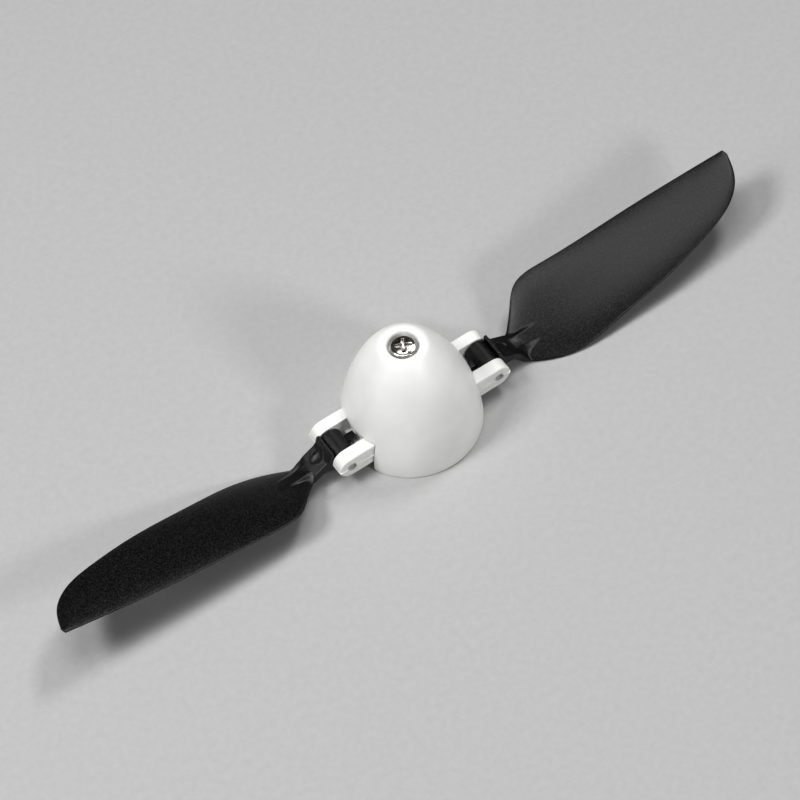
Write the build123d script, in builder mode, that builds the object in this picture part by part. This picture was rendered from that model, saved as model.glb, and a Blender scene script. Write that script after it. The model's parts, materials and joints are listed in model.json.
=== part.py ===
from build123d import *
from math import cos, pi, radians, sin
import os

# Folding propeller with spinner for a small electric glider, 130 mm across and 70 mm pitch.
# The shaft runs along Z with the nose up, the blades lie along X and the hinge pins along Y.
# Z = 0 is the plane that the spinner's rim stands on. Lengths in mm, angles in degrees.

# propeller
blade_tip_reach = 51.2      # hinge pin to blade tip, along the blade
pitch = 70.0                # advance per turn, sets the twist
twist_limit = 12.0          # the twist stops growing inboard of here
blade_drop = 3.6            # pitch line aft of the hinge pin
rest_lean = 9.4             # the blades' forward lean with their root corners on the table
blade_thickness = 1.15      # at the shoulder
tip_thickness = 0.75
blade_camber = 0.035        # share of the local chord
edge_thickness = 0.3

# plan of the blade, from the hinge pin outwards, leading edge at +Y
neck_reach = 5.2            # where the blade widens from its neck
shoulder_reach = 14.0       # end of the leading shoulder
widest_reach = 22.0
lead_width = 8.15
trail_width = 5.4
tip_lead_width = 6.45
tip_flat = 0.9              # short straight edge at the tip
section_trim = 0.15         # the sections reach this far past the outline that cuts them

# blade root
barrel_radius = 2.0
collar_start = 1.9
collar_end = 2.7
collar_height = 2.05
lug_reach = 3.45            # hinge pin to the stop lug's end
lug_width = 1.25
lug_offset = -0.2           # across the blade, towards the trailing edge
lug_bottom = -0.3           # below the pin's centre at rest
lug_top = 0.7

# spinner
spinner_radius = 11.0
spinner_height = 20.0
ogive_length = 22.0
ogive_power = 1.8
ogive_root = 1.62
spinner_wall = 1.0
nose_wall = 1.6             # under the screw's head
nose_bore_radius = 2.4
nose_bore_depth = 1.8
lip_rounding = 0.5
notch_depth = 3.0           # how far in from the rim the notches are cut
notch_rounding = 0.8        # where each notch meets the rim
column_radius = 3.2

# hinges
pin_reach = 13.5            # shaft axis to hinge pin
pin_height = 4.1
pin_radius = 0.75
pin_recess = 0.2            # pin ends below the ears' outer faces
pin_chamfer = 0.12
ear_half_height = 2.1
ear_thickness = 2.1
fork_gap = 4.5
ear_edge = 0.3

# hub
hub_floor = 1.0
slot_end = 9.7              # shaft axis to the inboard wall of each slot
ledge_reach = 10.7          # outboard edge of the stop ledge
ledge_gap = 0.45            # stop ledge below the lug at rest
ledge_thickness = 1.4
ledge_root = 0.2            # the ledge runs this far into each ear
boss_radius = 4.3
boss_top = 9.5

# motor shaft insert
insert_radius = 2.4
insert_bottom = 0.6
shaft_radius = 1.0
shaft_depth = 4.5
shaft_stop = 0.8            # web between the shaft bore and the thread

# nose screw, 2 mm pan head
screw_radius = 1.0
screw_length = 12.0
screw_point = 0.25
screw_head_radius = 2.0
screw_head_height = 1.6
screw_dome = 0.95           # rounding of the head's rim
recess_arm = 1.1            # half length of the cross
recess_width = 0.5
recess_depth = 0.9
recess_taper = 8
recess_turn = 20            # where the cross stopped when the screw was tight

# clearances
pin_running = 0.05
pin_seat = 0.01
fork_side = 0.12            # barrel to each ear
notch_side = 0.12           # spinner notch to each ear
notch_top = 0.15
screw_clearance = 0.1
thread_clearance = 0.02
seat_gap = 0.02

fork_half = fork_gap / 2 + ear_thickness
barrel_half = fork_gap / 2 - fork_side
ear_top = pin_height + ear_half_height
ear_bottom = pin_height - ear_half_height
ledge_height = pin_height + lug_bottom - ledge_gap
nose_floor = spinner_height - nose_bore_depth
cavity_top = nose_floor - nose_wall
column_foot = boss_top + seat_gap
thread_start = insert_bottom + shaft_depth + shaft_stop
overcut = 1.0               # cutters stand this far clear of what they cut
os.makedirs("parts", exist_ok=True)


def ogive(height):
    """Radius of the spinner's outside at a height above its rim."""
    return spinner_radius * (1 - (height / ogive_length) ** ogive_power) ** (1 / ogive_root)


# spinner: a white shell with a screw column and two notches that straddle the forks
shell_steps = 8
shell_heights = [spinner_height * step / shell_steps for step in range(shell_steps + 1)]
cavity_steps = 6
cavity_heights = [cavity_top * step / cavity_steps for step in range(cavity_steps + 1)]
slope_step = 0.01
nose_slope = (ogive(spinner_height) - ogive(spinner_height - slope_step), slope_step)

with BuildPart() as spinner:
    with BuildSketch(Plane.XZ) as spinner_half:
        with BuildLine():
            Spline(*[(ogive(z), z) for z in shell_heights], tangents=[(0, 1), nose_slope])
            Line((ogive(spinner_height), spinner_height), (0, spinner_height))
            Line((0, spinner_height), (0, 0))
            Line((0, 0), (spinner_radius, 0))
        make_face()
    revolve(axis=Axis.Z)
    with BuildSketch(Plane.XZ) as cavity_half:
        with BuildLine():
            Spline(*[(ogive(z) - spinner_wall, z) for z in cavity_heights])
            Line((ogive(cavity_top) - spinner_wall, cavity_top), (column_radius, cavity_top))
            Line((column_radius, cavity_top), (column_radius, column_foot))
            Line((column_radius, column_foot), (0, column_foot))
            Line((0, column_foot), (0, 0))
            Line((0, 0), (spinner_radius - spinner_wall, 0))
        make_face()
    revolve(axis=Axis.Z, mode=Mode.SUBTRACT)
    with BuildSketch(Plane.XY.offset(spinner_height)):
        Circle(nose_bore_radius)
    extrude(amount=-nose_bore_depth, mode=Mode.SUBTRACT)
    with BuildSketch(Plane.XY.offset(spinner_height)):
        Circle(screw_radius + screw_clearance)
    extrude(amount=-spinner_height, mode=Mode.SUBTRACT)
    with BuildSketch(Plane.XY):
        Rectangle(2 * spinner_radius + overcut, 2 * (fork_half + notch_side))
        Circle(spinner_radius - notch_depth, mode=Mode.SUBTRACT)
    extrude(amount=ear_top + notch_top, mode=Mode.SUBTRACT)
    rim_corners = spinner.edges().filter_by(Axis.X).group_by(Axis.Z)[0]
    fillet(rim_corners, min(notch_rounding, 0.9 * spinner_wall))
    nose_edges = spinner.edges().filter_by(GeomType.CIRCLE).group_by(Axis.Z)[-1]
    fillet(nose_edges, min(lip_rounding, 0.45 * (ogive(spinner_height) - nose_bore_radius)))
spinner.part.label = "spinner"
export_step(spinner.part, "parts/spinner.step")

# hub: a white bar with a fork at each end, round ears and a central boss
with BuildPart() as hub:
    with BuildSketch(Plane.XZ.offset(-fork_half)) as side_view:
        with Locations((0, pin_height)):
            SlotCenterToCenter(2 * pin_reach, 2 * ear_half_height)
    extrude(amount=2 * fork_half)
    side_edges = hub.edges().filter_by(Axis.Y, reverse=True)
    fillet(side_edges, min(ear_edge, 0.4 * ear_thickness))
    with BuildSketch(Plane.XY.offset(ear_bottom - overcut)):
        with Locations((slot_end + pin_reach, 0), (-slot_end - pin_reach, 0)):
            Rectangle(2 * pin_reach, fork_gap)
    extrude(amount=2 * (ear_half_height + overcut), mode=Mode.SUBTRACT)
    with BuildSketch(Plane.XY.offset(ledge_height)):
        Rectangle(2 * ledge_reach, fork_gap + 2 * ledge_root)
    extrude(amount=-ledge_thickness)
    with BuildSketch(Plane.XZ.offset(-fork_half - overcut)):
        with Locations((pin_reach, pin_height), (-pin_reach, pin_height)):
            Circle(pin_radius + pin_seat)
    extrude(amount=2 * (fork_half + overcut), mode=Mode.SUBTRACT)
    with BuildSketch(Plane.XY.offset(hub_floor)):
        Circle(boss_radius)
    extrude(amount=boss_top - hub_floor)
    with BuildSketch(Plane.XY):
        Circle(insert_radius)
    extrude(amount=boss_top + overcut, mode=Mode.SUBTRACT)
hub.part.label = "hub"
export_step(hub.part, "parts/hub.step")

# brass insert moulded into the hub: motor shaft bore below, screw thread above
with BuildPart() as shaft_insert:
    with BuildSketch(Plane.XY.offset(insert_bottom)):
        Circle(insert_radius)
    extrude(amount=boss_top - insert_bottom)
    with BuildSketch(Plane.XY.offset(insert_bottom)):
        Circle(shaft_radius)
    extrude(amount=shaft_depth, mode=Mode.SUBTRACT)
    with BuildSketch(Plane.XY.offset(thread_start)):
        Circle(screw_radius + thread_clearance)
    extrude(amount=boss_top, mode=Mode.SUBTRACT)
shaft_insert.part.label = "shaft_insert"
export_step(shaft_insert.part, "parts/shaft_insert.step")

# nose screw: domed pan head with a cross recess
with BuildPart() as spinner_screw:
    with BuildSketch(Plane.XY.offset(nose_floor)):
        Circle(screw_radius)
    extrude(amount=-screw_length)
    chamfer(spinner_screw.edges().group_by(Axis.Z)[0], screw_point)
    with BuildSketch(Plane.XY.offset(nose_floor)):
        Circle(screw_head_radius)
    extrude(amount=screw_head_height)
    fillet(spinner_screw.edges().group_by(Axis.Z)[-1], screw_dome)
    with BuildSketch(Plane.XY.offset(nose_floor + screw_head_height)):
        with Locations(Rotation(0, 0, recess_turn)):
            Rectangle(2 * recess_arm, recess_width)
            Rectangle(recess_width, 2 * recess_arm)
    extrude(amount=-recess_depth, taper=recess_taper, mode=Mode.SUBTRACT)
spinner_screw.part.label = "spinner_screw"
export_step(spinner_screw.part, "parts/spinner_screw.step")

# hinge pins, pressed into both ears of each fork
pin_half = fork_half - pin_recess
for pin_name, pin_side in (("pin_1", 1), ("pin_2", -1)):
    with BuildPart() as hinge_pin:
        with BuildSketch(Plane.XZ.offset(-pin_half)):
            with Locations((pin_side * pin_reach, pin_height)):
                Circle(pin_radius)
        extrude(amount=2 * pin_half)
        chamfer(hinge_pin.edges().filter_by(GeomType.CIRCLE), pin_chamfer)
    hinge_pin.part.label = pin_name
    export_step(hinge_pin.part, f"parts/{pin_name}.step")

# blades: drawn in a frame on the hinge pin whose X runs out along the blade
lean = radians(rest_lean)
outward = Vector(cos(lean), 0, sin(lean))
upward = Vector(-sin(lean), 0, cos(lean))
blade_plane = Plane(origin=(pin_reach, 0, pin_height), x_dir=outward, z_dir=upward)
blade_side = Plane(origin=(pin_reach, 0, pin_height), x_dir=outward, z_dir=(0, -1, 0))


def station(reach):
    """Plane across the blade at a distance from the hinge pin, with its X along +Y."""
    return Plane(origin=blade_plane.from_local_coords((reach, 0, 0)), x_dir=(0, 1, 0), z_dir=outward)


def along(share):
    """Distance from the hinge pin of a share of the way from the neck to the tip."""
    return neck_reach + share * (blade_tip_reach - neck_reach)


def blade_line(reach, width):
    """Height of the helical pitch surface at a distance along and across the blade."""
    return width * pitch / (2 * pi * (pin_reach + max(reach, twist_limit))) - blade_drop


def blade_section(reach, lead, trail, thickness):
    """Thin cambered section between the leading and trailing edges, two arcs and blunt ends."""
    chord = lead - trail
    middle = (lead + trail) / 2
    crown = blade_line(reach, middle) + blade_camber * chord
    edge = edge_thickness / 2
    lead_z = blade_line(reach, lead)
    trail_z = blade_line(reach, trail)
    with BuildSketch(station(reach)) as section:
        with BuildLine():
            ThreePointArc((trail, trail_z + edge), (middle, crown + thickness / 2), (lead, lead_z + edge))
            Line((lead, lead_z + edge), (lead, lead_z - edge))
            ThreePointArc((lead, lead_z - edge), (middle, crown - thickness / 2), (trail, trail_z - edge))
            Line((trail, trail_z - edge), (trail, trail_z + edge))
        make_face()
    return section.sketch


def neck_section(reach, low, high, rounding):
    """Rounded block section of the neck, as wide as the barrel."""
    with BuildSketch(station(reach)) as section:
        with Locations((0, (low + high) / 2)):
            RectangleRounded(2 * barrel_half, high - low, rounding)
    return section.sketch


# where the section is, its leading edge, its trailing edge, its thickness
blade_sections = [
    blade_section(along(-0.03), lead_width, -trail_width, 1.2 * blade_thickness),
    blade_section(shoulder_reach, lead_width + section_trim, -trail_width - section_trim, blade_thickness),
    blade_section(widest_reach, lead_width + section_trim, -trail_width - section_trim, 0.92 * blade_thickness),
    blade_section(along(0.58), lead_width + 0.1, -0.9 * trail_width - section_trim, 0.85 * blade_thickness),
    blade_section(along(0.8), 0.9 * lead_width + section_trim, -0.58 * trail_width, 0.9 * tip_thickness),
    blade_section(along(1.02), tip_lead_width + section_trim, -0.3 * trail_width, 0.8 * tip_thickness),
]
# the neck dips from the barrel to the blade: where, its underside, its top, its rounding
neck_sections = [
    neck_section(0.5 * barrel_radius, -1.8, 1.6, 0.4),
    neck_section(0.7 * neck_reach, -2.2, -0.4, 0.5),
    neck_section(neck_reach, 0.1 - blade_drop, 2.0 - blade_drop, 0.6),
    neck_section(neck_reach + 3.4, -0.15 - blade_drop, 0.9 - blade_drop, 0.4),
]
tip_back = blade_tip_reach - 0.1
tip_front = blade_tip_reach - 0.4

with BuildPart() as blade_1:
    loft(sections=blade_sections)
    with BuildSketch(blade_plane.offset(-spinner_height)) as blade_plan:
        with BuildLine():
            Line((neck_reach, barrel_half), (neck_reach, -barrel_half))
            Spline(
                (neck_reach, -barrel_half),
                (neck_reach + 2.4, -0.65 * trail_width),
                (neck_reach + 6.3, -0.945 * trail_width),
                (widest_reach, -trail_width),
                (along(0.604), -0.843 * trail_width),
                (along(0.778), -0.565 * trail_width),
                (along(0.887), -0.26 * trail_width),
                (along(0.965), 0.264 * tip_lead_width),
                (tip_back, tip_lead_width - tip_flat),
            )
            Line((tip_back, tip_lead_width - tip_flat), (tip_front, tip_lead_width))
            Spline(
                (tip_front, tip_lead_width),
                (along(0.626), 0.933 * lead_width),
                (shoulder_reach + 3, lead_width),
                (shoulder_reach - 3, 0.914 * lead_width),
                (neck_reach + 2.9, 0.589 * lead_width),
                (neck_reach, barrel_half),
            )
        make_face()
    extrude(amount=2 * spinner_height, mode=Mode.INTERSECT)
    loft(sections=neck_sections)
    with BuildSketch(Plane.XZ.offset(-barrel_half)):
        with Locations((pin_reach, pin_height)):
            Circle(barrel_radius)
    extrude(amount=2 * barrel_half)
    with BuildSketch(blade_side.offset(-barrel_half)):
        with Locations(((collar_start + collar_end) / 2, (collar_height - barrel_radius) / 2)):
            Rectangle(collar_end - collar_start, collar_height + barrel_radius)
    extrude(amount=2 * barrel_half)
    with BuildSketch(Plane.XZ.offset(-lug_width / 2 - lug_offset)):
        with Locations((pin_reach - lug_reach / 2, pin_height + (lug_bottom + lug_top) / 2)):
            Rectangle(lug_reach, lug_top - lug_bottom)
    extrude(amount=lug_width)
    with BuildSketch(Plane.XZ.offset(-fork_half)):
        with Locations((pin_reach, pin_height)):
            Circle(pin_radius + pin_running)
    extrude(amount=2 * fork_half, mode=Mode.SUBTRACT)
blade_1.part.label = "blade_1"
export_step(blade_1.part, "parts/blade_1.step")

with BuildPart() as blade_2:
    add(blade_1.part, rotation=(0, 0, 180))
blade_2.part.label = "blade_2"
export_step(blade_2.part, "parts/blade_2.step")
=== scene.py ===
import json

import bmesh
import bpy
import numpy as np
from mathutils import Matrix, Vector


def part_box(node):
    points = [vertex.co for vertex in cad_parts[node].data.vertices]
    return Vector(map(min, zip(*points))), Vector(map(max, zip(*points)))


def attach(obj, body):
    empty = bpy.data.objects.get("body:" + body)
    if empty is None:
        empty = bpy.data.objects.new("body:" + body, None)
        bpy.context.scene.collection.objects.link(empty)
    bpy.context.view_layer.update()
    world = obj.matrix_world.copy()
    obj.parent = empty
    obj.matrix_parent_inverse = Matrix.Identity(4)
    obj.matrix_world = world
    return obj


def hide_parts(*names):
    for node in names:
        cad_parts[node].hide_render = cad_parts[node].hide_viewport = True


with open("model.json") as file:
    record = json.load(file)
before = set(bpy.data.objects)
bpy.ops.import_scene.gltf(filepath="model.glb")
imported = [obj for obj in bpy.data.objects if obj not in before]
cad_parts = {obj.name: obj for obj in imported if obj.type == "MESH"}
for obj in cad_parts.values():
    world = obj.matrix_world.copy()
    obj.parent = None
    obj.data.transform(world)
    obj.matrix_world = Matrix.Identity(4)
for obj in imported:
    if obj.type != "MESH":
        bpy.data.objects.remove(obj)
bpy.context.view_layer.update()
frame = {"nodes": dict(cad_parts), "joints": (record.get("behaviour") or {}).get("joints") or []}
mm = 0.001
turn = 2 * np.pi

# places that every piece is built from, read off the frame
spinnerHigh = np.array(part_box("spinner")[1])
hubHigh = np.array(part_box("hub")[1])
pinLow, pinHigh = (np.array(corner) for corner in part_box("pin_1"))
screwLow, screwHigh = (np.array(corner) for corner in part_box("spinner_screw"))
insertLow, insertHigh = (np.array(corner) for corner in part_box("shaft_insert"))
rimRadius = spinnerHigh[1]
noseHeight = spinnerHigh[2]
pinReach, _, pinHeight = frame["joints"][0]["pos_m"]
pinRadius = (pinHigh[2] - pinLow[2]) / 2
earRadius = hubHigh[0] - pinReach          # also half the height of the hub's bar
forkHalf = hubHigh[1]
print("frame loaded,", len(frame["nodes"]), "nodes, rim radius", round(rimRadius / mm, 2), "mm")


# meshes

def latticeFaces(rows, cols, closeRows, closeCols):
    # four neighbours make a face; a closed direction wraps round to its first line
    down = np.arange(rows - (not closeRows))
    along = np.arange(cols - (not closeCols))
    i, j = np.meshgrid(down, along, indexing="ij")
    here, below = i * cols, (i + 1) % rows * cols
    beside = (j + 1) % cols
    return np.stack([here + j, below + j, below + beside, here + beside], -1).reshape(-1, 4)


def weldLattices(lattices, near=1e-7):
    # stacks the lattices, makes one of points that coincide, and drops the faces that shrink to a line
    points = np.concatenate([lattice.reshape(-1, 3) for lattice, _, _ in lattices])
    counts = np.cumsum([0] + [lattice.shape[0] * lattice.shape[1] for lattice, _, _ in lattices])
    faces = np.concatenate([
        latticeFaces(lattice.shape[0], lattice.shape[1], closeRows, closeCols) + start
        for (lattice, closeRows, closeCols), start in zip(lattices, counts)
    ])
    _, first, joined = np.unique(np.round(points / near), axis=0, return_index=True, return_inverse=True)
    points, faces = points[first], joined.reshape(-1)[faces]
    doubled = faces == np.roll(faces, -1, axis=1)
    crossed = (faces[:, 0] == faces[:, 2]) | (faces[:, 1] == faces[:, 3])
    three = (doubled.sum(1) == 1) & ~crossed
    return points, faces[(doubled.sum(1) == 0) & ~crossed], faces[three][~doubled[three]].reshape(-1, 3)


def makeMesh(name, lattices, sharpAngle):
    # a closed mesh of welded lattices, faces outwards, smooth but for edges sharper than the angle in degrees
    points, quads, triangles = weldLattices(lattices)
    mesh = bpy.data.meshes.new(name)
    mesh.from_pydata(points.tolist(), [], quads.tolist() + triangles.tolist())
    shell = bmesh.new()
    shell.from_mesh(mesh)
    bmesh.ops.recalc_face_normals(shell, faces=shell.faces)
    shell.to_mesh(mesh)
    shell.free()
    mesh.shade_smooth()
    mesh.set_sharp_from_angle(angle=np.radians(sharpAngle))
    return mesh


def placePiece(name, mesh, material, body, node):
    # puts a mesh in the scene as the visible form of a CAD node that moves with a body
    piece = bpy.data.objects.new(name, mesh)
    bpy.context.scene.collection.objects.link(piece)
    mesh.materials.append(material)
    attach(piece, body)
    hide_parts(node)
    return piece


def splineThrough(points, count):
    # natural cubic spline: chord lengths are its parameter, and its second derivatives solve a
    # three-banded system
    points = np.array(points, float)
    step = np.linalg.norm(np.diff(points, axis=0), axis=1)
    place = np.concatenate([[0], np.cumsum(step)])
    inner = np.arange(1, len(points) - 1)
    bands = np.eye(len(points))
    bands[inner, inner - 1] = step[:-1]
    bands[inner, inner] = 2 * (step[:-1] + step[1:])
    bands[inner, inner + 1] = step[1:]
    slope = np.diff(points, axis=0) / step[:, None]
    pull = np.zeros_like(points)
    pull[1:-1] = 6 * (slope[1:] - slope[:-1])
    bend = np.linalg.solve(bands, pull)
    at = np.linspace(0, place[-1], count)
    k = np.clip(np.searchsorted(place, at) - 1, 0, len(step) - 1)
    ahead = (place[k + 1] - at)[:, None]
    behind = (at - place[k])[:, None]
    h = step[k][:, None]
    curve = (bend[k] * ahead ** 3 + bend[k + 1] * behind ** 3) / (6 * h)
    curve += (points[k] / h - bend[k] * h / 6) * ahead
    curve += (points[k + 1] / h - bend[k + 1] * h / 6) * behind
    return curve


def revolve(profile, sides):
    # a profile of radius and height carried round the upright axis
    angle = turn * np.arange(sides) / sides
    profile = np.array(profile, float)
    ring = np.stack([np.cos(angle), np.sin(angle), np.zeros(sides)], -1)
    return profile[:, :1, None] * ring[None] + profile[:, 1:, None] * np.array([0, 0, 1.0])


def smoothStep(x):
    # 0 below 0, 1 above 1 and the curve 3 x squared - 2 x cubed between
    x = np.clip(x, 0, 1)
    return x * x * (3 - 2 * x)


def arc(centre, radius, start, stop, count):
    # points of a circle between two angles in degrees
    angle = np.radians(np.linspace(start, stop, count))
    return np.array(centre) + radius * np.stack([np.cos(angle), np.sin(angle)], -1)


# materials

def newMaterial(name, colour, roughness, metallic=0.0):
    # a plain material, with what is needed to vary it: its nodes, its shader and the object's coordinates
    material = bpy.data.materials.new(name)
    material.use_nodes = True
    tree = material.node_tree
    shader = tree.nodes["Principled BSDF"]
    shader.inputs["Base Color"].default_value = (*colour, 1)
    shader.inputs["Roughness"].default_value = roughness
    shader.inputs["Metallic"].default_value = metallic
    place = tree.nodes.new("ShaderNodeTexCoord").outputs["Object"]
    return material, tree, shader, place


def noiseOf(tree, place, size, detail=3.0, roughness=0.5, stretch=None):
    # size is the width of a typical blotch in metres
    if stretch:
        mapping = tree.nodes.new("ShaderNodeMapping")
        mapping.inputs["Scale"].default_value = stretch
        tree.links.new(place, mapping.inputs["Vector"])
        place = mapping.outputs["Vector"]
    noise = tree.nodes.new("ShaderNodeTexNoise")
    noise.inputs["Scale"].default_value = 1 / size
    noise.inputs["Detail"].default_value = detail
    noise.inputs["Roughness"].default_value = roughness
    tree.links.new(place, noise.inputs["Vector"])
    return noise.outputs["Fac"]


def between(tree, fac, low, high, fromLow=0.3, fromHigh=0.7):
    # stretches a noise from its usual span to two values
    span = tree.nodes.new("ShaderNodeMapRange")
    span.inputs["From Min"].default_value = fromLow
    span.inputs["From Max"].default_value = fromHigh
    span.inputs["To Min"].default_value = low
    span.inputs["To Max"].default_value = high
    tree.links.new(fac, span.inputs["Value"])
    return span.outputs["Result"]


def blotches(tree, fac, dark, light):
    # a colour that runs from dark to light with a noise
    mix = tree.nodes.new("ShaderNodeMix")
    mix.data_type = "RGBA"
    mix.inputs["A"].default_value = (*dark, 1)
    mix.inputs["B"].default_value = (*light, 1)
    tree.links.new(fac, mix.inputs["Factor"])
    return mix.outputs["Result"]


def addBump(tree, shader, heights):
    # each height is a noise and its depth in metres; they are laid one over the other
    normal = None
    for fac, depth in heights:
        bump = tree.nodes.new("ShaderNodeBump")
        bump.inputs["Distance"].default_value = depth
        tree.links.new(fac, bump.inputs["Height"])
        if normal:
            tree.links.new(normal, bump.inputs["Normal"])
        normal = bump.outputs["Normal"]
    tree.links.new(normal, shader.inputs["Normal"])


whitePlastic = {
    "dark": (0.80, 0.80, 0.785),
    "light": (0.86, 0.86, 0.85),
    "milkiness": 0.25,
    "milkDepth": 0.9 * mm,
    "index": 1.5,
    "cloudSize": 5 * mm,
    "peelSize": 0.9 * mm,
    "peelDepth": 0.006 * mm,
    "grainSize": 0.12 * mm,
    "grainDepth": 0.0025 * mm,
}


def makeWhitePlastic(name, gloss):
    # moulded white plastic: faint clouds in its colour, shallow orange peel, a fine satin grain,
    # and light bleeding in
    look = whitePlastic
    material, tree, shader, place = newMaterial(name, look["light"], gloss)
    clouds = between(tree, noiseOf(tree, place, look["cloudSize"], 4), 0, 1)
    colour = blotches(tree, clouds, look["dark"], look["light"])
    peel = noiseOf(tree, place, look["peelSize"], 2)
    grain = noiseOf(tree, place, look["grainSize"], 2)
    tree.links.new(colour, shader.inputs["Base Color"])
    tree.links.new(between(tree, peel, gloss - 0.05, gloss + 0.06), shader.inputs["Roughness"])
    addBump(tree, shader, [(peel, look["peelDepth"]), (grain, look["grainDepth"])])
    shader.inputs["Subsurface Weight"].default_value = look["milkiness"]
    shader.inputs["Subsurface Radius"].default_value = (1.0, 0.95, 0.9)
    shader.inputs["Subsurface Scale"].default_value = look["milkDepth"]
    shader.inputs["IOR"].default_value = look["index"]
    return material


blackPlastic = {
    "dark": (0.001, 0.001, 0.001),
    "light": (0.03, 0.03, 0.03),
    "index": 1.45,
    "roughness": (0.3, 0.46),
    "grainSize": 0.24 * mm,
    "grainDepth": 0.03 * mm,
    "pitSize": 0.6 * mm,
    "pitDepth": 0.008 * mm,
}


def makeBlackPlastic(name):
    # glass-filled black plastic from a spark-eroded mould: sandy grain with paler flecks, over shallow pits
    look = blackPlastic
    material, tree, shader, place = newMaterial(name, look["light"], look["roughness"][0])
    grain = noiseOf(tree, place, look["grainSize"], 3, 0.7)
    pits = noiseOf(tree, place, look["pitSize"], 3, 0.6)
    flecks = between(tree, grain, 0, 1, 0.47, 0.72)
    tree.links.new(blotches(tree, flecks, look["dark"], look["light"]), shader.inputs["Base Color"])
    tree.links.new(between(tree, grain, *look["roughness"]), shader.inputs["Roughness"])
    addBump(tree, shader, [(pits, look["pitDepth"]), (grain, look["grainDepth"])])
    shader.inputs["IOR"].default_value = look["index"]
    return material


def makeMetal(name, colour, roughness, streakSize, stretch, depth):
    # bright metal with a little tarnish and tool marks; a stretch under 1 draws the marks out that way
    material, tree, shader, place = newMaterial(name, colour, roughness, 1.0)
    streaks = noiseOf(tree, place, streakSize, 4, 0.6, stretch)
    tarnish = noiseOf(tree, place, 0.8 * mm, 3)
    dull = tuple(0.72 * part for part in colour)
    tree.links.new(blotches(tree, between(tree, tarnish, 0, 1), dull, colour), shader.inputs["Base Color"])
    tree.links.new(between(tree, streaks, roughness - 0.07, roughness + 0.12), shader.inputs["Roughness"])
    addBump(tree, shader, [(streaks, depth)])
    return material


spinnerPlastic = makeWhitePlastic("spinnerPlastic", 0.42)
hubPlastic = makeWhitePlastic("hubPlastic", 0.36)
bladePlastic = makeBlackPlastic("bladePlastic")
pinSteel = makeMetal("pinSteel", (0.58, 0.58, 0.6), 0.3, 0.15 * mm, (1, 0.08, 1), 0.004 * mm)
screwNickel = makeMetal("screwNickel", (0.78, 0.76, 0.72), 0.16, 0.3 * mm, (1, 1, 1), 0.006 * mm)
insertBrass = makeMetal("insertBrass", (0.8, 0.62, 0.3), 0.25, 0.2 * mm, (1, 1, 0.3), 0.004 * mm)
print("materials ready")


# spinner

spinner = {
    "ogiveLength": 22 * mm,
    "ogivePower": 1.8,
    "ogiveRoot": 1.62,
    "wall": 1.0 * mm,
    "noseWall": 1.6 * mm,
    "boreRadius": 2.4 * mm,
    "boreDepth": 1.8 * mm,
    "lip": 0.5 * mm,
    "holeRadius": 1.1 * mm,
    "columnRadius": 3.2 * mm,
    "columnFoot": hubHigh[2] + 0.02 * mm,
    "notchSide": 0.12 * mm,       # air beside each ear
    "notchTop": 0.15 * mm,
    "notchCorner": 0.8 * mm,      # where a notch runs out at the rim
    "notchFillet": 0.3 * mm,
    "edge": 0.18 * mm,            # rounding of every edge of the wall
    "edgeSteps": 6,
    "lipDrop": 0.45 * mm,         # where the outside turns in to the nose lip
    "columnFillet": 0.4 * mm,
    "footEdge": 0.2 * mm,
    "boreEdge": 0.15 * mm,
    "rowsOutside": 46,
    "rowsInside": 24,
}


def ogive(height):
    # radius = rim x (1 - (height / length) ^ power) ^ (1 / root), a blunt bullet
    share = 1 - (height / spinner["ogiveLength"]) ** spinner["ogivePower"]
    return rimRadius * share ** (1 / spinner["ogiveRoot"])


def wallEdge(inset, depth):
    # one quarter of the wall's lower edge, inset into the wall and sunk below its outside: along the rim,
    # round the corner, up the notch's side, round its fillet and along its top; gives angles and heights
    side = forkHalf + spinner["notchSide"]
    top = pinHeight + earRadius + spinner["notchTop"]
    corner, fillet = spinner["notchCorner"], spinner["notchFillet"]
    cornerArc = arc((side + corner, corner), corner - inset, 270, 180, 9)
    sideLine = np.stack([np.full(15, side + inset), np.linspace(corner, top - fillet, 15)], -1)
    filletArc = arc((side - fillet, top - fillet), fillet + inset, 0, 90, 7)
    topLine = np.stack([np.linspace(side - fillet, 0, 15), np.full(15, top + inset)], -1)
    notch = np.concatenate([cornerArc, sideLine[1:], filletArc[1:], topLine[1:]])
    radius = ogive(notch[:, 1]) - depth
    angle = np.arcsin(notch[:, 0] / radius)
    rim = np.stack([np.linspace(np.pi / 2, angle[0], 40)[:-1], np.full(39, inset)], -1)
    return np.concatenate([rim, np.stack([angle, notch[:, 1]], -1)])


def evenQuarter():
    # the same count of angles on a plain ring: the notch's side gets those just outside it
    stops = np.radians([90, 62, 56, 31, 27, 0])
    counts = [40, 9, 15, 7, 15]
    runs = [np.linspace(a, b, n)[:-1] for a, b, n in zip(stops, stops[1:], counts)]
    return np.concatenate([*runs, [0.0]])


def ringRow(angles, heights, depth):
    # a whole ring of the wall at a depth below its outside, from a quarter's angles and heights
    radius = ogive(heights) - depth
    quarter = np.stack([radius * np.cos(angles), radius * np.sin(angles), heights], -1)
    return mirrorQuarter(quarter)


def mirrorQuarter(quarter):
    # a quarter row from the Y axis to the X axis, mirrored in both and joined into a whole ring
    other = quarter[::-1] * [1, -1, 1]
    half = np.concatenate([quarter, other[1:]])
    return np.concatenate([half, (half * [-1, -1, 1])[1:-1]])


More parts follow.
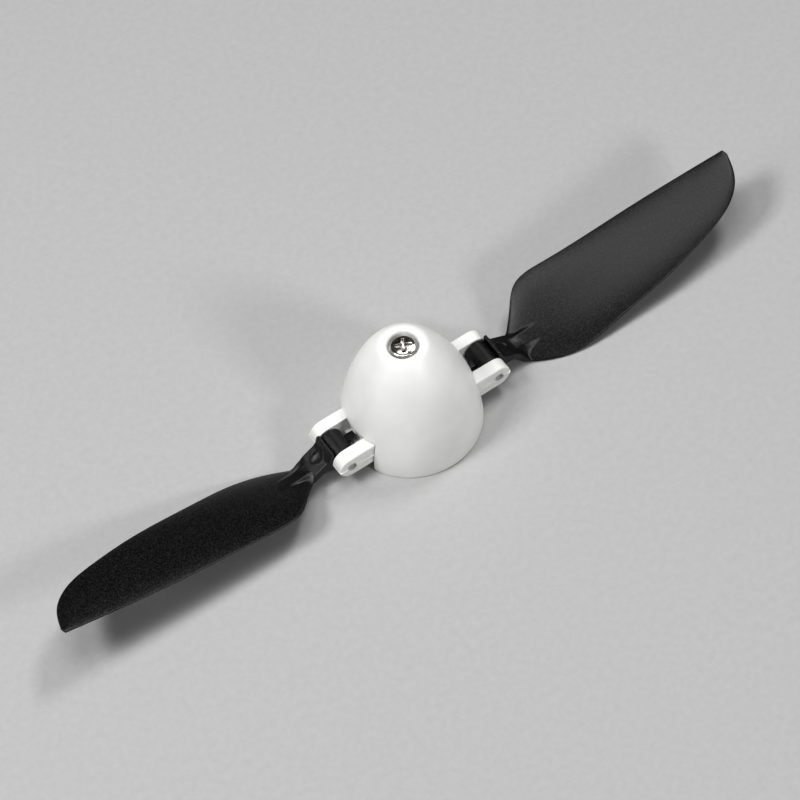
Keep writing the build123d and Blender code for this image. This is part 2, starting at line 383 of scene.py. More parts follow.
def outerLip(lipStart):
    # a cubic Bezier curve that leaves the outside at 45 degrees and meets the flat crown of the nose lip
    start = np.array([ogive(lipStart), lipStart])
    crown = np.array([spinner["boreRadius"] + 1.15 * spinner["lip"], noseHeight])
    handle = np.array([start, start + [-0.16 * mm, 0.16 * mm], crown + [0.3 * mm, 0], crown])
    t = np.linspace(0, 1, 9)[:, None]
    ends = (1 - t) ** 3 * handle[0] + t ** 3 * handle[3]
    return ends + 3 * t * (1 - t) ** 2 * handle[1] + 3 * t * t * (1 - t) * handle[2]


def spinnerLattice():
    # rows run from the nose lip down the outside, round the wall's lower edge, up the inside, across the
    # cavity's roof, down and up the screw column and out through the nose bore, so both directions close
    even = evenQuarter()
    lipStart = noseHeight - spinner["lipDrop"]
    edge, wall, steps = spinner["edge"], spinner["wall"], spinner["edgeSteps"]
    cavityTop = noseHeight - spinner["boreDepth"] - spinner["noseWall"]
    rows = []
    startEdge = wallEdge(edge, 0)
    for share in 1 - np.linspace(0, 1, spinner["rowsOutside"]) ** 0.8:
        angles = startEdge[:, 0] + (even - startEdge[:, 0]) * share
        rows.append(ringRow(angles, startEdge[:, 1] + (lipStart - startEdge[:, 1]) * share, 0))
    for swing in np.radians(np.linspace(0, 90, steps))[1:]:
        depth = edge * (1 - np.cos(swing))
        line = wallEdge(edge * (1 - np.sin(swing)), depth)
        rows.append(ringRow(line[:, 0], line[:, 1], depth))
    for swing in np.radians(np.linspace(90, 0, steps)):
        depth = wall - edge * (1 - np.cos(swing))
        line = wallEdge(edge * (1 - np.sin(swing)), depth)
        rows.append(ringRow(line[:, 0], line[:, 1], depth))
    innerEdge = wallEdge(edge, wall)
    for share in np.linspace(0, 1, spinner["rowsInside"])[1:]:
        angles = innerEdge[:, 0] + (even - innerEdge[:, 0]) * share
        rows.append(ringRow(angles, innerEdge[:, 1] + (cavityTop - innerEdge[:, 1]) * share, wall))
    column, foot, hole = spinner["columnRadius"], spinner["columnFoot"], spinner["holeRadius"]
    bore, lip, floor = spinner["boreRadius"], spinner["lip"], noseHeight - spinner["boreDepth"]
    fillet, footEdge, small = spinner["columnFillet"], spinner["footEdge"], spinner["boreEdge"]
    roof = ogive(cavityTop) - wall
    profile = np.concatenate([
        [[(roof + column) / 2 + 1 * mm, cavityTop]],
        arc((column + fillet, cavityTop - fillet), fillet, 90, 180, 5),
        [[column, (cavityTop + foot) / 2]],
        arc((column - footEdge, foot + footEdge), footEdge, 0, -90, 4),
        arc((hole + small, foot + small), small, 270, 180, 4),
        [[hole, (foot + floor) / 2]],
        [[hole, floor], [bore - small, floor]],
        arc((bore - small, floor + small), small, 270, 360, 4)[1:],
        arc((bore + lip, noseHeight - lip), lip, 180, 90, 8),
        outerLip(lipStart)[::-1][1:-1],
    ])
    for radius, height in profile:
        quarter = np.stack([radius * np.cos(even), radius * np.sin(even), np.full(len(even), height)], -1)
        rows.append(mirrorQuarter(quarter))
    return np.array(rows)


spinnerMesh = makeMesh("spinnerShell", [(spinnerLattice(), True, True)], 50)
placePiece("spinnerShell", spinnerMesh, spinnerPlastic, "hub", "spinner")
print("spinner ready")


# nose screw

screw = {
    "headHeight": 1.6 * mm,
    "dome": 0.5 * mm,
    "crown": 0.22 * mm,
    "shankRadius": 1.0 * mm,
    "recessArm": 1.28 * mm,
    "recessWidth": 0.6 * mm,
    "recessDepth": 0.9 * mm,
    "recessTaper": 0.2 * mm,
    "recessTurn": 62,
    "point": 0.25 * mm,
    "threadPitch": 0.4 * mm,
    "threadDepth": 0.14 * mm,
    "threadClearance": 0.02 * mm,
    "faceRings": 44,
    "sides": 144,
}


def screwLattice():
    # the head is a lattice of radius and angle whose height is the dome less the cross recess, and the
    # recess is the distance inside a cross, run up a short ramp; the thread is plain rings, not a helix
    radius, top, low, rings = screwHigh[0], screwHigh[2], screwLow[2], screw["faceRings"]
    flat = radius - screw["dome"]
    face = np.stack([np.linspace(0, flat, rings), np.full(rings, top)], -1)
    face[:, 1] -= screw["crown"] * (face[:, 0] / flat) ** 2
    rim = arc((flat, top - screw["dome"]), screw["dome"], 90, 0, 12)[1:]
    rim[:, 1] -= screw["crown"] * np.linspace(1, 0, len(rim))
    seat = top - screw["headHeight"]
    shank = screw["shankRadius"] - screw["threadClearance"]
    turns = np.arange(seat - 0.3 * mm, low + 0.6 * mm, -screw["threadPitch"] / 2)
    ridge = np.where(np.arange(len(turns)) % 2, shank, shank - screw["threadDepth"])
    tip = [[shank - 0.1 * mm, low + 0.4 * mm], [shank - screw["point"], low], [0, low]]
    under = [[radius, seat + 0.1 * mm], [radius - 0.1 * mm, seat], [shank, seat]]
    profile = np.concatenate([face, rim, under, np.stack([ridge, turns], -1), tip])
    lattice = revolve(profile, screw["sides"])
    angle = np.radians(screw["recessTurn"])
    x = lattice[:rings, :, 0] * np.cos(angle) + lattice[:rings, :, 1] * np.sin(angle)
    y = -lattice[:rings, :, 0] * np.sin(angle) + lattice[:rings, :, 1] * np.cos(angle)
    arm, half = screw["recessArm"], screw["recessWidth"] / 2
    outsideOne = np.maximum(abs(x) - arm, abs(y) - half)
    outsideOther = np.maximum(abs(y) - arm, abs(x) - half)
    inside = -np.minimum(outsideOne, outsideOther)
    deeper = 1 - 0.5 * np.clip(np.hypot(x, y) / arm, 0, 1)
    lattice[:rings, :, 2] -= screw["recessDepth"] * smoothStep(inside / screw["recessTaper"]) * deeper
    return lattice


screwMesh = makeMesh("noseScrew", [(screwLattice(), False, True)], 45)
placePiece("noseScrew", screwMesh, screwNickel, "hub", "spinner_screw")
print("screw ready")


# hinge pins and shaft insert

pin = {
    "bevel": 0.12 * mm,
    "dish": 0.03 * mm,
    "centreMark": 0.12 * mm,
    "sides": 48,
}


def pinLattice(side):
    # a round bar along Y with bevelled, slightly dished ends
    half, bevel, dish = pinHigh[1], pin["bevel"], pin["dish"]
    end = np.array([
        [0, half - dish],
        [pin["centreMark"], half - dish],
        [0.6 * pinRadius, half - dish / 3],
        [pinRadius - bevel, half],
        [pinRadius - 0.3 * bevel, half - 0.35 * bevel],
        [pinRadius, half - bevel],
    ])
    body = np.stack([np.full(9, pinRadius), np.linspace(half - bevel, bevel - half, 9)], -1)[1:-1]
    lattice = revolve(np.concatenate([end, body, end[::-1] * [1, -1]]), pin["sides"])
    place = np.stack([lattice[..., 0], lattice[..., 2], -lattice[..., 1]], -1)
    return place + [side * pinReach, 0, pinHeight]


for name, side in (("pin_1", 1), ("pin_2", -1)):
    piece = "hingePin" + name[-1]
    pinMesh = makeMesh(piece, [(pinLattice(side), False, True)], 35)
    placePiece(piece, pinMesh, pinSteel, "hub", name)

insert = {
    "shaftRadius": 1.0 * mm,
    "shaftDepth": 4.5 * mm,
    "web": 0.8 * mm,
    "threadRadius": 1.02 * mm,
    "bevel": 0.15 * mm,
    "knurls": 32,
    "knurlDepth": 0.08 * mm,
    "knurlMargin": 2 * mm,
}


def insertLattice():
    # a turned bush with a blind bore from below and a thread from above; its outside is finely knurled
    low, high, outer, bevel = insertLow[2], insertHigh[2], insertHigh[0], insert["bevel"]
    bore, thread, margin = insert["shaftRadius"], insert["threadRadius"], insert["knurlMargin"]
    webLow = low + insert["shaftDepth"]
    webHigh = webLow + insert["web"]
    profile = [
        [0, webLow], [bore, webLow], [bore, low + bevel], [bore + bevel, low],
        [outer - bevel, low], [outer, low + bevel], [outer, low + margin],
        [outer, high - margin], [outer, high - bevel], [outer - bevel, high],
        [thread + bevel, high], [thread, high - bevel], [thread, webHigh], [0, webHigh],
    ]
    sides = insert["knurls"] * 6
    lattice = revolve(profile, sides)
    ripple = 0.5 - 0.5 * np.cos(insert["knurls"] * turn * np.arange(sides) / sides)
    lattice[6:8, :, :2] *= (1 - insert["knurlDepth"] / outer * ripple)[None, :, None]
    return lattice


insertMesh = makeMesh("shaftBush", [(insertLattice(), False, True)], 30)
placePiece("shaftBush", insertMesh, insertBrass, "hub", "shaft_insert")
print("pins and insert ready")


# hub

hub = {
    "sideEdge": 0.3 * mm,         # rounding of the bar's long edges
    "slotHalf": 2.25 * mm,
    "slotEnd": 9.7 * mm,
    "ledgeReach": 10.7 * mm,
    "ledgeTop": pinHeight - 0.75 * mm,
    "holeRadius": pinRadius + 0.01 * mm,
    "holeMouth": 0.09 * mm,
    "partingStep": 0.17 * mm,     # the lower mould half stands proud where the halves met
    "partingWidth": 0.04 * mm,
    "partingFade": 1.1 * mm,
    "partingRound": 0.35,         # share of that step at the ear's round end
    "neckRadius": 3.35 * mm,      # the bar's inner end, inside the boss
    "bossRadius": 4.3 * mm,
    "bossFoot": 1.0 * mm,
    "bossEdge": 0.15 * mm,
    "softEdge": 0.07 * mm,
    "stops": (21, 10, 6, 5),      # stops to the slot's end, on to the pin; below, to the ledge, on to the pin
}


def sideRuns():
    # stops along the bar's top and bottom edges, as many on each, and angles round the ear's end that crowd
    # where the parting line runs
    end, ledge = hub["slotEnd"], hub["ledgeReach"]
    toSlot, toPin, toLedge, lastPart = hub["stops"]
    inner = np.linspace(0, end, toSlot)
    above = np.concatenate([inner, np.linspace(end, pinReach, toPin)[1:]])
    step = [np.linspace(end, ledge, toLedge)[1:], np.linspace(ledge, pinReach, lastPart)[1:]]
    below = np.concatenate([inner, *step])
    half = np.concatenate([[1.2, 2.4, 3.6, 5.5], np.linspace(8, 84, 15)])
    return above, below, np.radians(np.concatenate([half[::-1], [0], -half]))


def partingAt(height):
    # a sharp ledge at the pin's height that fades out below
    down = pinHeight - height
    ledge = np.clip(1 + down / hub["partingWidth"], 0, 1)
    return hub["partingStep"] * ledge * (1 - smoothStep(down / hub["partingFade"]))


def barOutline(inset, runs):
    # a bar with a round end: straight along the top, half a turn about the pin, straight back below
    above, below, swing = runs
    radius = earRadius - inset
    bulge = hub["partingRound"] * partingAt(pinHeight + earRadius * np.sin(swing))
    top = np.stack([above, np.full(len(above), pinHeight + radius)], -1)
    around = np.stack([np.cos(swing), np.sin(swing)], -1)
    end = np.array([pinReach, pinHeight]) + (radius + bulge)[:, None] * around
    bottom = np.stack([below[::-1], np.full(len(below), pinHeight - radius)], -1)
    return np.concatenate([top, end, bottom])


def holeLine(midline, swing):
    # in along the mid line, round the pin hole at twice the outline's angle, and back
    around = np.stack([np.cos(2 * swing), np.sin(2 * swing)], -1)
    ring = np.array([pinReach, pinHeight]) + hub["holeRadius"] * around
    straight = np.stack([midline, np.full(len(midline), pinHeight)], -1)
    return np.concatenate([straight, ring, straight[::-1]])


def upright(points, y):
    # lifts points of the side plane to a distance from the middle plane
    return np.stack([points[..., 0], np.broadcast_to(y, points.shape[:-1]), points[..., 1]], -1)


def strip(points, across):
    # a line of the side plane carried across the bar
    return np.stack([upright(np.array(points), y) for y in across])


def barSide(runs, t):
    # the rounded edge, the side face as straight lines from the outline to the pin hole, and the hole's wall
    edge, hole, slot = hub["sideEdge"], hub["holeRadius"], hub["slotHalf"]
    above, _, swing = runs
    rounding = []
    for angle in np.radians(np.linspace(0, 90, 6)):
        line = barOutline(edge * (1 - np.cos(angle)), runs)
        side = forkHalf - edge * (1 - np.sin(angle)) + partingAt(line[:, 1]) * np.sin(angle)
        rounding.append(upright(line, side))
    outer = barOutline(edge, runs)
    inner = holeLine(above * (pinReach - hole) / pinReach, swing)
    face = outer + (inner - outer) * t[:, None, None]
    face = upright(face, forkHalf + partingAt(face[..., 1]))
    rim = face[-1, len(above) - 1:len(above) + len(swing) + 1]
    mouth = rim * [1, 0, 1] + [0, forkHalf - hub["holeMouth"], 0]
    return [np.array(rounding), face, np.stack([rim, mouth, rim * [1, 0, 1] + [0, slot, 0]])]


def forkInside(runs, t, across, inward):
    # the skin round the ear, its inner face, the slot's end wall and the ledge across the slot
    slot, end, ledge, shelf = hub["slotHalf"], hub["slotEnd"], hub["ledgeReach"], hub["ledgeTop"]
    hole, floor, roof = hub["holeRadius"], pinHeight - earRadius, pinHeight + earRadius
    toSlot, _, toLedge, _ = hub["stops"]
    ear = barOutline(0, runs)[toSlot - 1:1 - toSlot]
    skin = strip(ear, across)
    step = [[ledge, z] for z in np.linspace(floor, shelf, 4)[1:]]
    step += [[x, shelf] for x in np.linspace(ledge, end, 3)[1:]]
    loop = np.concatenate([ear[:1 - toLedge], step])
    centre = holeLine(np.linspace(end, pinReach - hole, hub["stops"][1]), runs[2])
    inside = upright(loop + (centre - loop) * t[:, None, None], slot)
    upper = [[end, roof + (pinHeight - roof) * share] for share in t]
    lower = [[end, pinHeight + (shelf - pinHeight) * (1 - share)] for share in t[::-1][1:]]
    foot = [[x, floor] for x in runs[1][toSlot - 1:toSlot - 1 + toLedge]]
    ledgeFace = strip(loop[-1 - len(step):], inward)
    return [skin, inside, strip(upper + lower, inward), ledgeFace, strip(foot, inward)]


def barMiddle(runs, across, inward):
    # top and bottom sheets that narrow from the bar's edges to a round neck, and the neck's wall
    end, toSlot = hub["slotEnd"], hub["stops"][0]
    border = np.concatenate([
        np.stack([runs[0][:toSlot], np.full(toSlot, across[0])], -1),
        np.stack([np.full(len(across), end), across], -1)[1:],
        np.stack([np.full(len(inward), end), inward], -1)[1:],
    ])
    around = np.radians(np.linspace(90, 0, len(border)))
    ring = hub["neckRadius"] * np.stack([np.cos(around), np.sin(around)], -1)
    sheet = border + (ring - border) * np.linspace(0, 1, 7)[:, None, None]
    top = np.concatenate([sheet, np.full((*sheet.shape[:2], 1), pinHeight + earRadius)], -1)
    bottom = top * [1, 1, 0] + [0, 0, pinHeight - earRadius]
    core = np.linspace(0, 1, 5)[:, None, None] * (bottom[-1] - top[-1]) + top[-1]
    return [top, bottom, core]


def hubQuarter():
    # a quarter of the bar as patches that share their border points
    runs = sideRuns()
    nearHole = 1 - np.array([0.22, 0.17, 0.13, 0.1, 0.07, 0.04, 0]) / 1.8
    t = np.concatenate([np.linspace(0, 0.84, 8), nearHole])
    across = np.linspace(forkHalf - hub["sideEdge"], hub["slotHalf"], 8)
    inward = np.linspace(hub["slotHalf"], 0, 7)
    return [*barSide(runs, t), *forkInside(runs, t, across, inward), *barMiddle(runs, across, inward)]


def bossProfile():
    # the ring round the shaft bush, with small rounded edges
    bore, radius = insertHigh[0] + 0.01 * mm, hub["bossRadius"]
    low, high, edge = hub["bossFoot"], hubHigh[2], hub["bossEdge"]
    corners = [
        ((bore + edge, low + edge), 180),
        ((radius - edge, low + edge), 270),
        ((radius - edge, high - edge), 0),
        ((bore + edge, high - edge), 90),
    ]
    return np.concatenate([arc(centre, edge, start, start + 90, 4) for centre, start in corners])


def makeHub():
    # four mirrored quarters of the bar, and the boss round their neck
    mirrors = ([1, 1, 1], [-1, 1, 1], [1, -1, 1], [-1, -1, 1])
    quarters = [(patch * mirror, False, False) for patch in hubQuarter() for mirror in mirrors]
    mesh = makeMesh("hubBar", quarters + [(revolve(bossProfile(), 120), True, True)], 35)
    piece = placePiece("hubBar", mesh, hubPlastic, "hub", "hub")
    soft = piece.modifiers.new("softEdges", "BEVEL")
    soft.width = hub["softEdge"]
    soft.segments = 2
    soft.limit_method = "ANGLE"
    soft.angle_limit = np.radians(55)


makeHub()
print("hub ready")


# blades

blade = {
    "pitch": 70 * mm,             # advance per turn, sets the twist
    "twistLimit": 12 * mm,        # no more twist inboard of here
    "drop": 3.6 * mm,             # pitch line behind the hinge pin
    "lean": 9.4,                  # degrees the blades stand forward of straight out
    "camber": 0.016,
    "edge": 0.3 * mm,
    "thicknessAt": [[4, 14, 22, 32, 42, 52], [1.38, 1.15, 1.06, 0.98, 0.68, 0.6]],
    "lead": [(5.2, 2.13), (8.1, 4.8), (11.0, 7.45), (17.0, 8.15), (34.0, 7.6), (50.8, 6.45)],
    "trail": [(5.2, -2.13), (7.6, -3.5), (11.5, -5.1), (22.0, -5.4), (33.0, -4.55), (41.0, -3.05),
              (46.0, -1.4), (49.6, 1.7), (51.1, 5.55)],
    "barrelRadius": 2.0 * mm,
    "barrelHalf": 2.13 * mm,
    "holeRadius": pinRadius + 0.05 * mm,
    "collar": (1.9 * mm, 2.42 * mm, 2.05 * mm),     # start, end, height
    "collarBevel": 0.12 * mm,
    "fillet": 0.9 * mm,           # where the neck runs out into the plate
    "flank": (0.8 * mm, 1.8 * mm, 2.4 * mm),        # where the neck's sides fall away: from, run, depth
    "flankFrom": (4.8 * mm, 2.0 * mm),
    "plateFrom": (3.9 * mm, 1.5 * mm),              # the plate comes out of the neck: from, run
    "twistFrom": (4.4 * mm, 3.6 * mm),              # the neck takes up the plate's twist: from, run
    "neckTop": [[2.46, 2.9, 3.5, 4.2, 5.2, 6.8, 8.6, 14],
                [0.9, 0.15, -0.3, -0.85, -1.6, -2.25, -2.75, -4.8]],
    "neckBottom": [[2.42, 3.64, 5.2, 8.6, 14], [-2.0, -2.2, -3.5, -3.75, -3.4]],
    "ring": (3.5 * mm, 0.85 * mm, 0.15 * mm),       # ejector mark on the neck: place, radius, height
    "ringWidth": 0.11 * mm,
    "ringDish": 0.6,              # how deep it is inside, as a share of the ring's height
    "lug": (3.45 * mm, 1.25 * mm, -0.2 * mm, -0.3 * mm, 0.7 * mm),   # reach, width, offset, bottom, top
    "lugRoot": 1.2 * mm,
    "lugEdge": 0.12 * mm,
    "tipRun": 1.2 * mm,           # the last stretch of the trailing edge, where the lines crowd
    "tipRound": 0.12 * mm,
}


def atReach(table, reach):
    # straight lines between the places of a table, all in mm
    return np.interp(reach / mm, *table) * mm


def softTop(a, b, blend):
    # the higher of two surfaces with a fillet where they meet
    share = np.clip(0.5 + 0.5 * (a - b) / blend, 0, 1)
    return b + (a - b) * share + blend * share * (1 - share)


def bladeStations():
    # leading and trailing edge points of each line across the blade, root to tip, and how far the tip has
    # closed; the lines are spaced along the trailing edge, whose tip is a quarter circle in thickness
    trail = splineThrough(blade["trail"], 900) * mm
    lead = splineThrough(blade["lead"], 900) * mm
    run = np.concatenate([[0], np.cumsum(np.linalg.norm(np.diff(trail, axis=0), axis=1))])
    dense, last, tipRun = 8 * mm, run[-1], blade["tipRun"]
    stops = np.concatenate([
        np.linspace(0, dense, 60),
        np.linspace(dense, last - tipRun, 110)[1:],
        last - tipRun * np.linspace(1, 0, 16)[1:] ** 1.6,
    ])
    trailing = np.stack([np.interp(stops, run, trail[:, k]) for k in (0, 1)], -1)
    neck, backEnd, frontEnd = trail[0, 0], trail[-1, 0], lead[-1, 0]
    leadReach = neck + (trailing[:, 0] - neck) * (frontEnd - neck) / (backEnd - neck)
    leading = np.stack([leadReach, np.interp(leadReach, lead[:, 0], lead[:, 1])], -1)
    radius, half = blade["barrelRadius"], blade["barrelHalf"]
    start, end, _ = blade["collar"]
    barrel = -radius * np.cos(np.linspace(0, np.pi - np.arccos(0.925), 30))
    flat = np.linspace(start + 0.1 * mm, end - 0.1 * mm, 6)
    collar = [start - 0.02 * mm, start, start + 0.06 * mm, *flat, end - 0.06 * mm, end]
    root = np.concatenate([barrel, collar, np.linspace(end + 0.06 * mm, neck, 36)[:-1]])
    rootLead = np.stack([root, np.full(len(root), half)], -1)
    closing = np.clip((backEnd - trailing[:, 0]) / blade["tipRound"], 0, 1)
    tip = np.concatenate([np.ones(len(root)), np.sqrt(1 - (1 - closing) ** 2)])
    return np.concatenate([rootLead, leading]), np.concatenate([rootLead * [1, -1], trailing]), tip


def plateHeights(reach, width, share, chord):
    # a thin cambered plate on the helical surface width x pitch / (turn x radius); gives its middle, half its
    # thickness and the helical surface's own rise
    beyond = reach - blade["twistLimit"]
    span = pinReach + blade["twistLimit"] + (beyond + np.hypot(beyond, 2 * mm)) / 2
    bow = 4 * share * (1 - share)
    tilt = width * blade["pitch"] / (turn * span)
    middle = tilt - blade["drop"] + blade["camber"] * chord * bow
    thickness = atReach(blade["thicknessAt"], reach)
    half = blade["edge"] / 2 + (thickness - blade["edge"]) / 2 * (1 - (1 - bow) ** 2)
    return middle, half, tilt


def neckHeights(reach, width, tilt):
    # top and underside of the neck: two lines along the blade that take up its twist, lower at the sides,
    # with a raised ring round a shallow dish on top
    def along(name):
        start, run = blade[name]
        return smoothStep((reach - start) / run)

    sideFrom, sideRun, depth = blade["flank"]
    flank = depth * smoothStep((abs(width) - sideFrom) / sideRun) * along("flankFrom")
    twisting = tilt * along("twistFrom")
    place, radius, rise = blade["ring"]
    away = np.hypot(reach - place, width)
    ring = rise * np.exp(-((away - radius) / blade["ringWidth"]) ** 2)
    dish = blade["ringDish"] * rise * smoothStep(1 - away / radius)
    top = atReach(blade["neckTop"], reach) + twisting + ring - dish
    return top - flank, atReach(blade["neckBottom"], reach) + twisting + flank, along("plateFrom")


def bladeHeights(reach, width, share, chord):
    # top and underside: the plate and the neck joined by fillets, then a bevelled collar and a round barrel
    middle, half, tilt = plateHeights(reach, width, share, chord)
    neckTop, neckBottom, outboard = neckHeights(reach, width, tilt)
    hidden = 3 * mm * (1 - outboard)
    top = softTop(neckTop, middle + half - hidden, blade["fillet"])
    bottom = -softTop(-neckBottom, half - middle - hidden, blade["fillet"])
    start, end, height = blade["collar"]
    onCollar = (reach >= start) & (reach <= end)
    near = np.clip(1 - np.minimum(reach - start, end - reach) / blade["collarBevel"], 0, 1)
    bevel = blade["collarBevel"] * (1 - np.sqrt(1 - near ** 2))
    top = np.where(onCollar, height - bevel, top)
    bottom = np.where(onCollar, bevel - blade["barrelRadius"], bottom)
    barrel = np.sqrt(np.clip(blade["barrelRadius"] ** 2 - reach ** 2, 0, None))
    onBarrel = reach < start
    return np.where(onBarrel, barrel, top), np.where(onBarrel, -barrel, bottom)


def chordShares(chord, leading, even, soft, inset):
    # where the points of a line lie, 0 at the leading and 1 at the trailing edge: the middle ones keep to the
    # neck's width near the root and spread evenly outboard
    neckBand = 2.4 * mm
    q = np.linspace(0, 1, 63)[None, 1:-1]
    front = np.clip((leading - neckBand) / chord, 0.02, 0.45)
    back = np.clip((leading + neckBand) / chord, 0.55, 0.98)
    onNeck = front + (back - front) * (q - 0.12) / 0.76
    behind = 1 - (1 - back) * (1 - q) / 0.12
    near = np.where(q < 0.12, front * q / 0.12, np.where(q > 0.88, behind, onNeck))
    middle = (soft + (chord - 2 * soft) * (near + (q - near) * even)) / chord
    return np.concatenate([inset / chord, middle, 1 - inset[:, ::-1] / chord], 1)


def bladeLattice():
    # one closed skin: each row goes over the top from the leading to the trailing edge and back underneath,
    # and both edges are superellipses, blunter at the root
    lead, trail, tip = bladeStations()
    chord = np.linalg.norm(lead - trail, axis=1)[:, None]
    reach = lead[:, :1]
    thin = smoothStep((reach - 5 * mm) / (6 * mm))
    power = 2 / (3.4 - 1.4 * thin)
    soft = (0.3 - 0.12 * thin) * mm
    swing = np.radians(np.linspace(0, 90, 9))[None]
    inset = soft * (1 - np.cos(swing) ** power)
    inset[:, -1:] = soft
    fullness = np.sin(swing) ** power
    even = smoothStep((reach - 10 * mm) / (12 * mm))
    share = chordShares(chord, lead[:, 1:], even, soft, inset)
    flat = np.ones((len(lead), share.shape[1] - 2 * swing.size))
    rounding = np.concatenate([fullness, flat, fullness[:, ::-1]], 1) * tip[:, None]
    plan = lead[:, None] + (trail - lead)[:, None] * share[..., None]
    top, bottom = bladeHeights(plan[..., 0], plan[..., 1], share, chord)
    middle, half = (top + bottom) / 2, (top - bottom) / 2 * rounding
    upper = np.concatenate([plan, (middle + half)[..., None]], -1)
    lower = np.concatenate([plan, (middle - half)[..., None]], -1)[:, ::-1][:, 1:-1]
    return np.concatenate([upper, lower], 1)


def leanOut(local):
    # from the blade's own frame on the hinge pin to the place where it rests
    lean = np.radians(blade["lean"])
    x = pinReach + local[..., 0] * np.cos(lean) - local[..., 2] * np.sin(lean)
    z = pinHeight + local[..., 0] * np.sin(lean) + local[..., 2] * np.cos(lean)
    return np.stack([x, local[..., 1], z], -1)


def softBox(low, high, edge, steps=4):
    # a box with rounded edges: rings of a rounded rectangle whose corner swings in towards both ends
    low, high = np.array(low), np.array(high)
    corner = np.radians(np.linspace(0, 90, steps + 1))
    rings = [(low[2], edge)] + [(low[2] + edge * (1 - np.cos(s)), edge * (1 - np.sin(s))) for s in corner]
    rings += [(low[2] + high[2] - z, inset) for z, inset in rings[::-1]]
    rows = []
    turns = np.concatenate([corner + k * np.pi / 2 for k in range(4)])
    outward = np.stack([np.cos(turns), np.sin(turns)], -1)
    corners = [[high[0], high[1]], [low[0], high[1]], [low[0], low[1]], [high[0], low[1]]]
    signs = np.array([[-1, -1], [1, -1], [1, 1], [-1, 1]])
    centres = np.repeat(corners + signs * edge, steps + 1, 0)
    for z, inset in rings:
        ring = centres + (edge - inset) * outward
        rows.append(np.concatenate([ring, np.full((len(ring), 1), z)], -1))
    middle = np.mean(rows[0], 0, keepdims=True).repeat(len(rows[0]), 0)
    top = np.mean(rows[-1], 0, keepdims=True).repeat(len(rows[0]), 0)
    return np.array([middle, *rows[1:-1], top])


def pinHole():
    # a round bar along the pin, wider than the barrel, to cut the hole with
    half = blade["barrelHalf"] + 1 * mm
    bar = revolve([[0, -half], [blade["holeRadius"], -half], [blade["holeRadius"], half], [0, half]], 72)
    return np.stack([pinReach + bar[..., 0], bar[..., 2], pinHeight + bar[..., 1]], -1)


def combined(mesh, steps):
    # joins or cuts a mesh with others, one after another, and gives the finished mesh
    piece = bpy.data.objects.new("blank", mesh)
    bpy.context.scene.collection.objects.link(piece)
    helpers = []
    for other, operation in steps:
        helper = bpy.data.objects.new("helper", other)
        bpy.context.scene.collection.objects.link(helper)
        step = piece.modifiers.new("step", "BOOLEAN")
        step.object = helper
        step.operation = operation
        step.solver = "EXACT"
        helpers.append(helper)
    graph = bpy.context.evaluated_depsgraph_get()
    done = bpy.data.meshes.new_from_object(piece.evaluated_get(graph))
    for spare in [piece, *helpers]:
        bpy.data.objects.remove(spare)
    return done


def makeBlade(name, side, body, node):
    # the skin, its stop lug joined on and the pin hole cut; the second blade is the first turned half round
    skin = leanOut(bladeLattice())
    reach, width, offset, bottom, top = blade["lug"]
    lugLow = (pinReach - reach, offset - width / 2, pinHeight + bottom)
    lugHigh = (pinReach - blade["lugRoot"], offset + width / 2, pinHeight + top)
    lug = softBox(lugLow, lugHigh, blade["lugEdge"])
    facing = np.array([side, side, 1])
    blank = makeMesh(name + "Blank", [(skin * facing, False, True)], 42)
    lugMesh = makeMesh(name + "Lug", [(lug * facing, False, True)], 42)
    holeMesh = makeMesh(name + "Hole", [(pinHole() * facing, False, True)], 42)
    mesh = combined(blank, [(lugMesh, "UNION"), (holeMesh, "DIFFERENCE")])
    mesh.name = name
    mesh.shade_smooth()
    mesh.set_sharp_from_angle(angle=np.radians(42))
    placePiece(name, mesh, bladePlastic, body, node)


makeBlade("bladeOne", 1, "blade_1", "blade_1")
makeBlade("bladeTwo", -1, "blade_2", "blade_2")
print("blades ready")


# table, light and camera

table = {
    "half": 0.6,
    "colour": (0.45, 0.45, 0.45),
    "roughness": 0.85,
    "grainSize": 1.1 * mm,
    "grainDepth": 0.03 * mm,
}


def makeCard():
    # pale card: a fine mottle in its tone and its surface
    material, tree, shader, place = newMaterial("tableCard", table["colour"], table["roughness"])
    paper = noiseOf(tree, place, table["grainSize"], 4, 0.65)
    tone = tuple(0.93 * part for part in table["colour"])
    mottle = blotches(tree, between(tree, paper, 0, 1), tone, table["colour"])
    tree.links.new(mottle, shader.inputs["Base Color"])
    addBump(tree, shader, [(paper, table["grainDepth"])])
    return material


def makeTable():
    # one flat sheet on the plane that the rim stands on
    half = table["half"]
    mesh = bpy.data.meshes.new("table")
    corners = [(-half, -half, 0), (half, -half, 0), (half, half, 0), (-half, half, 0)]
    mesh.from_pydata(corners, [], [(0, 1, 2, 3)])
    sheet = bpy.data.objects.new("table", mesh)
    bpy.context.scene.collection.objects.link(sheet)
    mesh.materials.append(makeCard())


camera = {
    "azimuth": -27.75,
    "elevation": 56.65,
    "roll": -7.44,
    "distance": 43.13,       # in rim radii, like the point it looks at
    "target": (0.024, 0.338, 0),
    "lens": 138.7,
}

lights = [
    # name, azimuth and elevation, size, power; all stand at the same distance and face the object
    ("leftBox", 166, 54, (0.14, 0.18), 1.9),
    ("rightBox", 20, 58, (0.12, 0.16), 1.15),
    ("topBox", 160, 85, (0.30, 0.24), 1.15),
    ("leftFill", 182, 22, (0.12, 0.10), 0.4),
    ("frontFill", 288, 30, (0.12, 0.10), 1.15),
]
lightDistance = 0.6
roomLight = 0.015        # what the dark room adds
backdropTone = 0.5       # how the plain backdrop looks behind the table


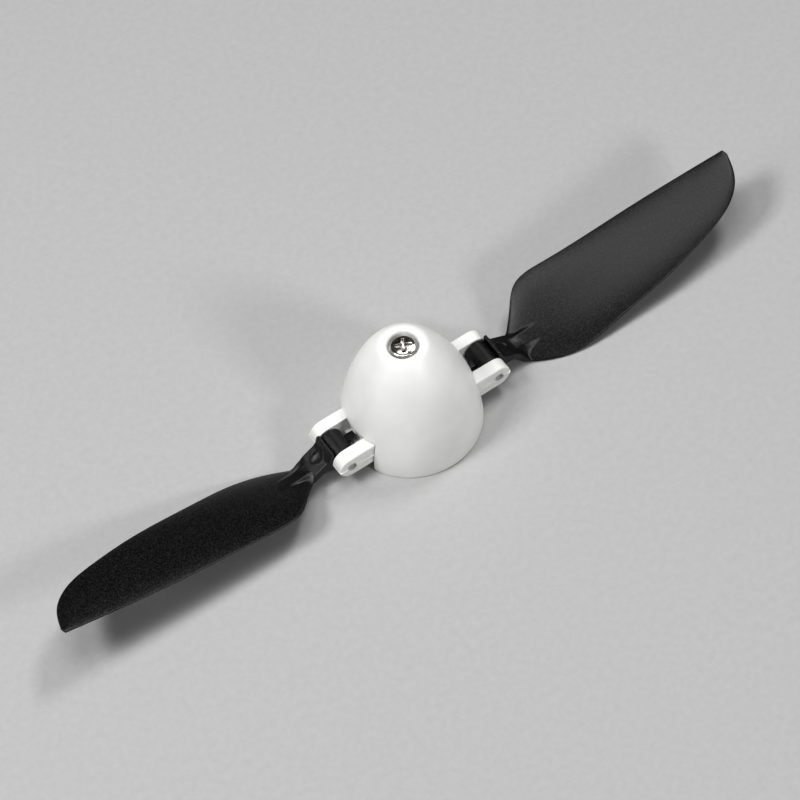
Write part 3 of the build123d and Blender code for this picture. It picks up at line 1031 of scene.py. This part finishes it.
def viewAxes():
    # the camera's right, up and back, from its azimuth, elevation and roll
    a, e, r = np.radians([camera["azimuth"], camera["elevation"], camera["roll"]])
    back = np.array([np.sin(a) * np.cos(e), -np.cos(a) * np.cos(e), np.sin(e)])
    right = np.array([np.cos(a), np.sin(a), 0])
    up = np.cross(back, right)
    return np.cos(r) * right + np.sin(r) * up, -np.sin(r) * right + np.cos(r) * up, back


def placeFrom(right, up, back, place):
    # a 4 x 4 placement whose columns are the three axes and the place
    matrix = np.eye(4)
    matrix[:3] = np.stack([right, up, back, place], 1)
    return Matrix(matrix.tolist())


def addCamera():
    # stands back from the point it looks at by its distance
    right, up, back = viewAxes()
    lens = bpy.data.cameras.new("camera")
    lens.lens = camera["lens"]
    lens.sensor_width = 36
    lens.clip_start = 0.02
    lens.clip_end = 10
    eye = bpy.data.objects.new("camera", lens)
    bpy.context.scene.collection.objects.link(eye)
    target = np.array(camera["target"]) * rimRadius
    eye.matrix_world = placeFrom(right, up, back, target + camera["distance"] * rimRadius * back)
    bpy.context.scene.camera = eye


def addLights():
    # soft boxes on one sphere round the object, all facing it, with their sides level in the camera's view
    for name, azimuth, elevation, size, power in lights:
        a, e = np.radians([azimuth, elevation])
        back = np.array([np.cos(a) * np.cos(e), np.sin(a) * np.cos(e), np.sin(e)])
        box = bpy.data.lights.new(name, "AREA")
        box.shape = "RECTANGLE"
        box.size, box.size_y = size
        box.energy = power
        lamp = bpy.data.objects.new(name, box)
        bpy.context.scene.collection.objects.link(lamp)
        right = np.cross(viewAxes()[1], back)
        right /= np.linalg.norm(right)
        lamp.matrix_world = placeFrom(right, np.cross(back, right), back, lightDistance * back)


def addRoom():
    # a dim room, and a plain pale backdrop that only the camera sees
    world = bpy.data.worlds.new("room")
    world.use_nodes = True
    tree = world.node_tree
    room = tree.nodes["Background"]
    seen = tree.nodes.new("ShaderNodeMapRange")
    room.inputs["Color"].default_value = (1, 1, 1, 1)
    seen.inputs["To Min"].default_value = roomLight
    seen.inputs["To Max"].default_value = backdropTone
    rays = tree.nodes.new("ShaderNodeLightPath")
    tree.links.new(rays.outputs["Is Camera Ray"], seen.inputs["Value"])
    tree.links.new(seen.outputs["Result"], room.inputs["Strength"])
    bpy.context.scene.world = world


makeTable()
addCamera()
addLights()
addRoom()
tones = bpy.context.scene.view_settings
tones.view_transform = "Standard"
tones.exposure = 0.15
tones.gamma = 0.85
print("table, lights and camera ready")
